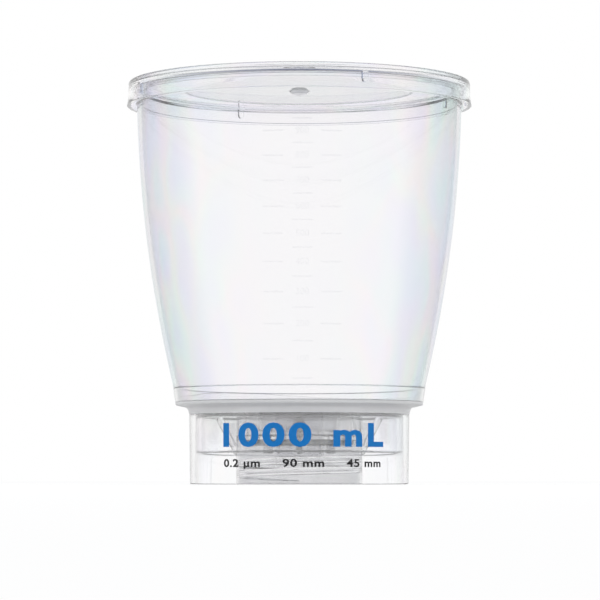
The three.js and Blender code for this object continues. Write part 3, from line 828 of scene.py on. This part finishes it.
def finishes():
    """The materials by name, made once and shared."""
    look = bpy.context.scene.filtration_finish
    clear, edge, base_edge = tuple(look.clear_colour), tuple(look.edge_colour), tuple(look.base_edge_colour)
    # base_limb_shade is painted shade: the base's walls go nearly black right at their limbs.
    base_middle, base_limb_shade = (0.985, 0.985, 0.987), (0.36, 0.36, 0.38)
    # Every clear finish below darkens towards edge-on, painted shade for the dark limbs of the walls.
    styrene = {
        "reservoir_clear": dict(tones=graded(clear, edge), stress=1.25, bend=1.35),
        "mark_clear": dict(tones=graded((0.958, 0.958, 0.965), edge), rough=0.14),
        "lid_clear": dict(tones=plain(clear, tuple(look.lid_edge_colour)), stress=1.0),
        # lid_panel: the lid's disc is painted grey-green, painted shade for the dim light seen through it.
        "lid_panel": dict(tones=plain((0.74, 0.76, 0.75), (0.67, 0.695, 0.69)), stress=0.2, rough=0.04),
        # lid_edge: dark navy painted on the rib sides and the down-facing faces by the seat, painted shade for the
        # dark line the skirt's corner reflects.
        "lid_edge": dict(tones=plain((0.5, 0.56, 0.72), (0.2, 0.26, 0.42)), flow=0.0),
        # gate_scar: the gate mark's real roughness, with a grey tone that is painted shade for the dark lens it
        # shows.
        "gate_scar": dict(tones=plain((0.84, 0.85, 0.87), (0.76, 0.77, 0.79)), flow=0.06, rough=0.3),
        "base_clear": dict(
            tones=[(0, base_middle), (0.56, base_middle), (0.7, base_edge), (1, base_limb_shade)], stress=0.4),
        "plate_satin": dict(tones=plain((0.995, 0.995, 0.995), (0.99, 0.99, 0.995)), flow=0.0, rough=0.22),
        "flare_satin": dict(
            tones=plain((0.94, 0.94, 0.945), (0.91, 0.91, 0.915)), flow=0.0, rough=0.4, clear=0.3),
        # spout_clear: the spout and baffle painted greyer, painted shade for the dim zone under the plate.
        "spout_clear": dict(tones=graded((0.87, 0.87, 0.885), base_edge), stress=0.2),
        "weld_clear": dict(tones=plain((0.95, 0.95, 0.96), (0.9, 0.9, 0.91)), flow=0.0),
        "weld_edge": dict(tones=plain((0.6, 0.61, 0.63), (0.5, 0.51, 0.53)), flow=0.0),
        # neck_clear: the neck's grey middle tone is painted shade for the dim light seen through its several
        # walls.
        "neck_clear": dict(tones=graded((0.81, 0.81, 0.82), (0.74, 0.74, 0.75)), stress=0.4),
        # moulded_edge: dark grey on the gussets' rims and the nipples' ends, painted shade for the dark outlines
        # their edges refract.
        "moulded_edge": dict(tones=plain((0.5, 0.5, 0.52), (0.34, 0.34, 0.36)), flow=0.0),
    }
    makers = {name: partial(clear_styrene, **values) for name, values in styrene.items()}
    makers |= {
        "membrane_film": partial(porous_white, colour=look.membrane_colour, scale=1500, depth=0.00005),
        "plug_porous": partial(porous_white, colour=(0.9, 0.9, 0.88), scale=2500, depth=0.0002),
        "gasket_cells": partial(gasket_foam, colour=look.gasket_colour),
        "fitting_plastic": partial(milky_plastic, colour=look.fitting_colour),
        "blue_ink": partial(printed_ink, colour=look.blue_ink),
        "black_ink": partial(printed_ink, colour=look.black_ink),
    }
    return {name: bpy.data.materials.get(name) or make(name) for name, make in makers.items()}


# ---------------------------------------------------------------- settings


def length_setting(name, description, millimetres):
    """A setting that is a length."""
    return bpy.props.FloatProperty(
        name=name, description=description, default=millimetres * MM, min=0.0, unit="LENGTH", precision=5)


def colour_setting(name, description, value):
    """A setting that is a colour."""
    return bpy.props.FloatVectorProperty(
        name=name, description=description, default=value, size=3, min=0.0, max=1.0, subtype="COLOR")


class FiltrationReservoirSettings(bpy.types.PropertyGroup):
    wall: length_setting("Wall", "Thickness of the reservoir's wall", RESERVOIR_WALL)
    rim_band: length_setting("Rim band", "Height of the thicker band below the rim", 5.1)
    mark_depth: length_setting("Mark depth", "How far the graduations stand out of the wall", 0.14)
    mark_step: bpy.props.IntProperty(
        name="Step", description="Millilitres from one numeral to the next", default=100, min=50)


class FiltrationBaseSettings(bpy.types.PropertyGroup):
    notch_half: length_setting("Notch half width", "Half the width of the notch that the port slides into", 4.9)
    port_radius: length_setting("Port radius", "Outer radius of the vacuum port", 4.6)
    port_bore: length_setting("Port bore", "Inner radius of the vacuum port", 3.3)
    marking_size: length_setting("Marking size", "Height of the large printed numerals", 8.8)


class FiltrationLidSettings(bpy.types.PropertyGroup):
    rib_count: bpy.props.IntProperty(name="Ribs", description="Ribs inside the lid's skirt", default=4, min=0)
    rib_angle: bpy.props.FloatProperty(
        name="Rib angle", description="Angle of the first rib from the front",
        default=math.radians(22), unit="ROTATION")


class FiltrationFinishSettings(bpy.types.PropertyGroup):
    clear_colour: colour_setting("Clear plastic", "Colour seen straight through the wall", (0.968, 0.963, 0.970))
    # The edge-on colours are painted shade that darkens the limbs of the clear walls.
    edge_colour: colour_setting("Clear plastic, edge-on", "Colour of a wall seen edge-on", (0.81, 0.825, 0.845))
    lid_edge_colour: colour_setting("Lid, edge-on", "The same for the lid", (0.955, 0.96, 0.97))
    base_edge_colour: colour_setting("Base, edge-on", "The same for the base", (0.86, 0.86, 0.87))
    membrane_colour: colour_setting("Membrane", "Colour of the filter membrane", (0.93, 0.93, 0.92))
    gasket_colour: colour_setting("Gasket", "Colour of the neck gasket", (0.86, 0.87, 0.88))
    fitting_colour: colour_setting("Hose fitting", "Colour of the hose fitting", (0.88, 0.9, 0.92))
    blue_ink: colour_setting("Blue ink", "Colour of the large numerals", (0.0, 0.175, 0.53))
    black_ink: colour_setting("Black ink", "Colour of the small numerals", (0.006, 0.006, 0.007))


# ---------------------------------------------------------------- operators


class FILTRATION_OT_reservoir(bpy.types.Operator):
    """Build the clear reservoir"""

    bl_idname = "filtration.reservoir"
    bl_label = "Reservoir"

    def execute(self, context):
        sizes = context.scene.filtration_reservoir
        look = finishes()
        mesh = reservoir_mesh(sizes.wall / MM, sizes.rim_band / MM)
        finished("reservoir_shell", mesh, look["reservoir_clear"], "filter_unit", ["reservoir"])
        return {"FINISHED"}


class FILTRATION_OT_graduations(bpy.types.Operator):
    """Build the raised volume marks on the reservoir's front"""

    bl_idname = "filtration.graduations"
    bl_label = "Graduations"

    def execute(self, context):
        sizes = context.scene.filtration_reservoir
        wall, depth, step = sizes.wall / MM, sizes.mark_depth / MM, sizes.mark_step
        middle, dash_length, dash_place, numeral_size = 1.1, 7.6, 10.7, 3.4
        volumes = np.arange(step, CAPACITY + 1, step)
        marks = []

        def mark(flat, z, across=0.0):
            marks.append(wrapped(flat, wall_radius, z, depth / 2 + 0.02, middle + across))

        for volume, z in zip(volumes, volume_heights(volumes, wall)):
            mark(dash_mesh("dash", dash_length, 0.5, depth), z, -dash_place)
            mark(dash_mesh("dash", dash_length, 0.5, depth), z, dash_place)
            mark(words_mesh("numeral", str(volume), numeral_size, depth), z)
        for z in volume_heights(volumes - step / 2, wall):
            mark(dash_mesh("tick", dash_length, 0.45, depth), z)
        mesh = joined("graduations", marks)
        finished("reservoir_graduations", mesh, finishes()["mark_clear"], "filter_unit")
        return {"FINISHED"}


class FILTRATION_OT_filter_base(bpy.types.Operator):
    """Build the filter base with its skirt, plate and collar, and the weld in the collar"""

    bl_idname = "filtration.filter_base"
    bl_label = "Filter base"

    def execute(self, context):
        mesh = filter_base_mesh(context.scene.filtration_base.notch_half / MM)
        look = finishes()
        shell = finished("base_shell", mesh, look["base_clear"], "filter_unit", ["filter_base"])
        r, z, *_ = face_places(shell)
        refinished(shell, look["plate_satin"], (r < 46.1) & (z > PLATE_UNDER - 0.05) & (z < PLATE_TOP + 0.05))
        refinished(shell, look["flare_satin"], (r > 41.85) & (z > FLARE_FOOT + 0.5) & (z < SATIN_TOP))
        # Painted shade: the spout and baffle under the plate are painted greyer.
        refinished(shell, look["spout_clear"], (r < 16) & (z < PLATE_UNDER - 0.1))
        mesh = joined("weld", [weld_mesh(), *bubble_meshes(70)])
        weld = finished("collar_weld", mesh, look["weld_clear"], "filter_unit")
        *_, normal = face_places(weld)
        refinished(weld, look["weld_edge"], normal[:, 2] > 0.5)
        return {"FINISHED"}


class FILTRATION_OT_neck_adapter(bpy.types.Operator):
    """Build the neck adapter with its thread, gussets, nipples and port"""

    bl_idname = "filtration.neck_adapter"
    bl_label = "Neck adapter"

    def execute(self, context):
        sizes = context.scene.filtration_base
        mesh = neck_adapter_mesh(sizes.port_radius / MM, sizes.port_bore / MM)
        look = finishes()
        # The neck is painted a shade grey.
        shell = finished("neck_shell", mesh, look["neck_clear"], "filter_unit", ["neck_adapter"])
        r, z, x, y, normal = face_places(shell)
        on_gusset = (np.abs(y) < 1.25) & (r > 24.2) & (r < 34) & (z < DECK_UNDER - 0.1)
        nipple_ends = (np.hypot(np.abs(x) - NIPPLE_CENTRE, y) < NIPPLE_RADIUS + 0.05) & (z < 12.7)
        refinished(shell, look["base_clear"], r > 31)
        # Painted shade: the gussets' rims and the nipples' ends are painted dark grey.
        refinished(shell, look["moulded_edge"], on_gusset & (np.abs(normal[:, 1]) < 0.94))
        refinished(shell, look["moulded_edge"], nipple_ends)
        return {"FINISHED"}


class FILTRATION_OT_membrane(bpy.types.Operator):
    """Build the filter membrane and the foam gasket in the neck"""

    bl_idname = "filtration.membrane"
    bl_label = "Membrane and gasket"

    def execute(self, context):
        look = finishes()
        radius, low, high = MEMBRANE_HIGH[0], MEMBRANE_LOW[2] + SEAM, MEMBRANE_HIGH[2]
        rings = np.linspace(radius - 1, 1, 30)
        disc = turned("membrane", softened(np.concatenate([
            [[0, low, 0], [radius, low, 0.05], [radius, high, 0.05]],
            wall_rows(rings, np.full(len(rings), high)), [[0, high, 0]]])))
        finished("membrane_disc", disc, look["membrane_film"], "filter_unit", ["filter_membrane"])
        inner, outer, low, high = 14.8, 20.4, GASKET_LOW[2], GASKET_HIGH[2] - 0.02
        ring = turned("gasket", softened([
            [inner, low, 0.2], [outer, low, 0.3], [outer, high, 0.2], [inner, high, 0.2]]))
        finished("gasket_ring", ring, look["gasket_cells"], "filter_unit", ["neck_gasket"])
        return {"FINISHED"}


class FILTRATION_OT_port_fittings(bpy.types.Operator):
    """Build the hose adapter and the porous plug in the vacuum port"""

    bl_idname = "filtration.port_fittings"
    bl_label = "Port fittings"

    def execute(self, context):
        look = finishes()
        start, end, flange = HOSE_LOW[1], HOSE_HIGH[1], NECK_HIGH[1]
        bore, plug_radius, flange_radius, stem, barb = 1.9, 3.0, 5.6, 3.3, 4.3
        barbs = [row for y in flange + 2.5 + 4.6 * np.arange(1, 4) for row in (
            [stem, y - 4.2, 0.15], [barb, y - 4.1, 0.18], [stem, y - 0.5, 0.4])]
        outline = softened([
            [bore, start, 0.2], [plug_radius, start, 0.3], [plug_radius, flange, 0.15],
            [flange_radius, flange, 0.3], [flange_radius, flange + 1.5, 0.3],
            [stem, flange + 1.5, 0.3], *barbs, [2.9, end, 0.5], [bore, end, 0.25]])
        fitting = turned_along_y("fitting", outline, PORT_HEIGHT, 72)
        finished(
            "hose_fitting", fitting, look["fitting_plastic"], "filter_unit", ["hose_adapter"])
        plug = turned_along_y("plug", rod(plug_radius, PLUG_LOW[1], PLUG_HIGH[1], 0.5, 0.5), PORT_HEIGHT)
        finished("vent_plug", plug, look["plug_porous"], "filter_unit", ["port_plug"])
        return {"FINISHED"}


class FILTRATION_OT_lid(bpy.types.Operator):
    """Build the loose lid"""

    bl_idname = "filtration.lid"
    bl_label = "Lid"

    def execute(self, context):
        sizes = context.scene.filtration_lid
        mesh = lid_mesh(sizes.rib_count, sizes.rib_angle)
        look = finishes()
        cover = finished("lid_cover", mesh, look["lid_clear"], "lid", ["lid"])
        r, z, x, y, normal = face_places(cover)
        near_rim = (r > LID_SEAT - 0.1) & (r < LID_SEAT + 1.2) & (z > RIM - 3.6) & (z < RIM + 0.2)
        rib_side = np.abs(x * normal[:, 1] - y * normal[:, 0]) > 0.6 * r
        # The disc and panel underside get their painted grey-green shade.
        refinished(cover, look["lid_panel"], (r < 43.3) & (z < RIM + 0.4))
        # The gate mark is rough and painted a shade greyer.
        refinished(cover, look["gate_scar"], (r < 3.9) & (z < RIM + 0.28))
        # Painted shade: a dark navy line on the rib sides and on the faces that look down by the seat.
        refinished(cover, look["lid_edge"], near_rim & (rib_side | (normal[:, 2] < -0.3)))
        return {"FINISHED"}


class FILTRATION_OT_marking(bpy.types.Operator):
    """Print the plain size marking on the front of the skirt"""

    bl_idname = "filtration.marking"
    bl_label = "Printed marking"

    def execute(self, context):
        size = context.scene.filtration_base.marking_size / MM
        look = finishes()
        large = words_mesh("large", "1000 mL", size * 1.32, INK, bold=0.46, wide=1.4, spacing=1.22)
        large = wrapped(large, skirt_wall_radius, 17.8, INK, 0.6)
        finished("marking_large", large, look["blue_ink"], "filter_unit")
        small = []
        for text, x in (("0.2 µm", -22.6), ("90 mm", 1.6), ("45 mm", 26.0)):
            words = words_mesh("small", text, 4.0, INK, bold=0.11, wide=1.3, spacing=1.1)
            small.append(wrapped(words, skirt_wall_radius, 7.7, INK, x))
        finished("marking_small", joined("small", small), look["black_ink"], "filter_unit")
        return {"FINISHED"}


class FILTRATION_OT_stage(bpy.types.Operator):
    """Set the floor, the light, the white surroundings and the camera"""

    bl_idname = "filtration.stage"
    bl_label = "Stage"

    def execute(self, context):
        scene = context.scene
        build_floor()
        build_world(scene)
        build_lamps()
        build_camera(scene)
        scene.view_settings.view_transform = "Standard"
        scene.cycles.max_bounces = 40
        scene.cycles.transmission_bounces = 40
        scene.cycles.glossy_bounces = 12
        scene.cycles.diffuse_bounces = 4
        return {"FINISHED"}


# ---------------------------------------------------------------- stage


def seen_directly(tree):
    """1 for rays from the camera, from a reflection or through clear plastic, and 0 for light on surfaces."""
    path = node_of(tree, "ShaderNodeLightPath", {}).outputs
    mirrored = worked_out(tree, "MAXIMUM", path["Is Camera Ray"], path["Is Glossy Ray"])
    return worked_out(tree, "MAXIMUM", mirrored, path["Is Transmission Ray"])


def build_floor():
    """A plain pale floor that reads as white and keeps the part's soft shadow."""
    far, level = 3000.0, -0.1
    corners = [[-far, -far, level], [far, -far, level], [far, far, level], [-far, far, level]]
    mesh = mesh_of("floor", corners, [[0, 1, 2, 3]])
    floor = piece_of("floor", mesh)
    material = bpy.data.materials.new("floor")
    tree = cleared(material)
    pale = node_of(tree, "ShaderNodeBsdfDiffuse", {"Color": (0.8, 0.8, 0.8, 1)}).outputs[0]
    thin = node_of(tree, "ShaderNodeBsdfDiffuse", {"Color": (0.18, 0.18, 0.18, 1)}).outputs[0]
    glow = node_of(tree, "ShaderNodeEmission", {"Strength": 0.84}).outputs[0]
    shown = node_of(tree, "ShaderNodeAddShader", {0: thin, 1: glow}).outputs[0]
    node_of(tree, "ShaderNodeOutputMaterial", {"Surface": mixed(tree, seen_directly(tree), pale, shown)})
    mesh.materials.append(material)


# Colours of the surroundings from the horizon, at 0, to straight above, at 1.
SKY = (
    (0.0, (1.0, 1.0, 1.0)), (0.2, (1.0, 1.0, 1.0)), (0.5, (0.84, 0.85, 0.87)),
    (0.75, (0.52, 0.54, 0.59)), (1.0, (0.12, 0.14, 0.23)),
)


def build_world(scene):
    """White surroundings. Reflections and refractions see white round the horizon and grey high above."""
    world = bpy.data.worlds.new("studio")
    tree = cleared(world)
    place = node_of(tree, "ShaderNodeTexCoord", {}).outputs["Generated"]
    sky = ramp(tree, node_of(tree, "ShaderNodeSeparateXYZ", {0: place}).outputs["Z"], SKY)
    path = node_of(tree, "ShaderNodeLightPath", {}).outputs
    bent = worked_out(tree, "MAXIMUM", path["Is Glossy Ray"], path["Is Transmission Ray"])
    first = worked_out(tree, "LESS_THAN", path["Diffuse Depth"], 0.5)  # 1 until the light has left a matt surface
    # The lamps don't shine through clear walls, so the world makes it up.
    strength = worked_out(tree, "MULTIPLY_ADD", path["Is Transmission Ray"], 1.1, 0.75)
    around = node_of(tree, "ShaderNodeBackground", {"Color": sky}).outputs[0]
    lighting = node_of(tree, "ShaderNodeBackground", {"Color": (0.97, 0.98, 1.0, 1), "Strength": strength})
    white = node_of(tree, "ShaderNodeBackground", {"Color": (1, 1, 1, 1)}).outputs[0]
    lit = mixed(tree, worked_out(tree, "MULTIPLY", bent, first), lighting.outputs[0], around)
    node_of(tree, "ShaderNodeOutputWorld", {"Surface": mixed(tree, path["Is Camera Ray"], lit, white)})
    scene.world = world


def build_lamps():
    """Two tall soft boxes at the sides and one above."""
    for name, place, aim, size, power in (
        ("left_box", (-0.9, -0.7, 0.4), (0, 0, 0.08), (0.5, 0.9), 2.2),
        ("right_box", (0.9, -0.7, 0.4), (0, 0, 0.08), (0.5, 0.9), 2.2),
        ("top_box", (0.0, 0.1, 1.3), (0, 0, 0.1), (0.6, 0.6), 2.0),
    ):
        lamp = bpy.data.lights.new(name, "AREA")
        lamp.shape = "RECTANGLE"
        lamp.size, lamp.size_y = size
        lamp.energy = power
        holder = piece_of(name, lamp)
        holder.location = place
        holder.visible_glossy = holder.visible_transmission = False
        away = np.array(place) - np.array(aim)
        across = math.hypot(away[0], away[1])
        holder.rotation_euler = (math.atan2(across, away[2]), 0, math.atan2(away[0], -away[1]))


def build_camera(scene):
    """A long lens almost at the floor, tilted a little up."""
    lens = bpy.data.cameras.new("camera")
    lens.sensor_width = 36.0
    lens.lens = 192.465
    lens.clip_start, lens.clip_end = 0.01, 20.0
    camera = piece_of("camera", lens)
    camera.location = (0.00027, -1.222, 0.0015)
    camera.rotation_euler = (math.radians(90 + 3.217), 0, 0)
    scene.camera = camera


# ---------------------------------------------------------------- panel and registration

OPERATORS = (
    FILTRATION_OT_filter_base, FILTRATION_OT_neck_adapter, FILTRATION_OT_membrane, FILTRATION_OT_port_fittings,
    FILTRATION_OT_reservoir, FILTRATION_OT_graduations, FILTRATION_OT_lid, FILTRATION_OT_marking,
    FILTRATION_OT_stage,
)
GROUPS = {
    "filtration_reservoir": FiltrationReservoirSettings,
    "filtration_base": FiltrationBaseSettings,
    "filtration_lid": FiltrationLidSettings,
    "filtration_finish": FiltrationFinishSettings,
}


class FILTRATION_PT_panel(bpy.types.Panel):
    """Sizes, colours and build steps of the filtration unit"""

    bl_idname = "FILTRATION_PT_panel"
    bl_label = "Vacuum filtration unit"
    bl_space_type = "VIEW_3D"
    bl_region_type = "UI"
    bl_category = "Filtration"

    def draw(self, context):
        layout = self.layout
        for group in GROUPS:
            column = layout.column(align=True)
            settings = getattr(context.scene, group)
            for key in settings.bl_rna.properties.keys():
                if key not in {"rna_type", "name"}:
                    column.prop(settings, key)
        for operator in OPERATORS:
            layout.operator(operator.bl_idname)


CLASSES = (*GROUPS.values(), *OPERATORS, FILTRATION_PT_panel)


def register():
    """Registers the classes and hangs the settings on the scene."""
    for cls in CLASSES:
        bpy.utils.register_class(cls)
    for name, group in GROUPS.items():
        setattr(bpy.types.Scene, name, bpy.props.PointerProperty(type=group))


def unregister():
    """Takes the settings and the classes away again."""
    for name in GROUPS:
        delattr(bpy.types.Scene, name)
    for cls in reversed(CLASSES):
        bpy.utils.unregister_class(cls)


def main():
    """Builds every piece and the stage in order."""
    register()
    for operator in OPERATORS:
        group, name = operator.bl_idname.split(".")
        getattr(getattr(bpy.ops, group), name)()


if __name__ == "__main__":
    main()
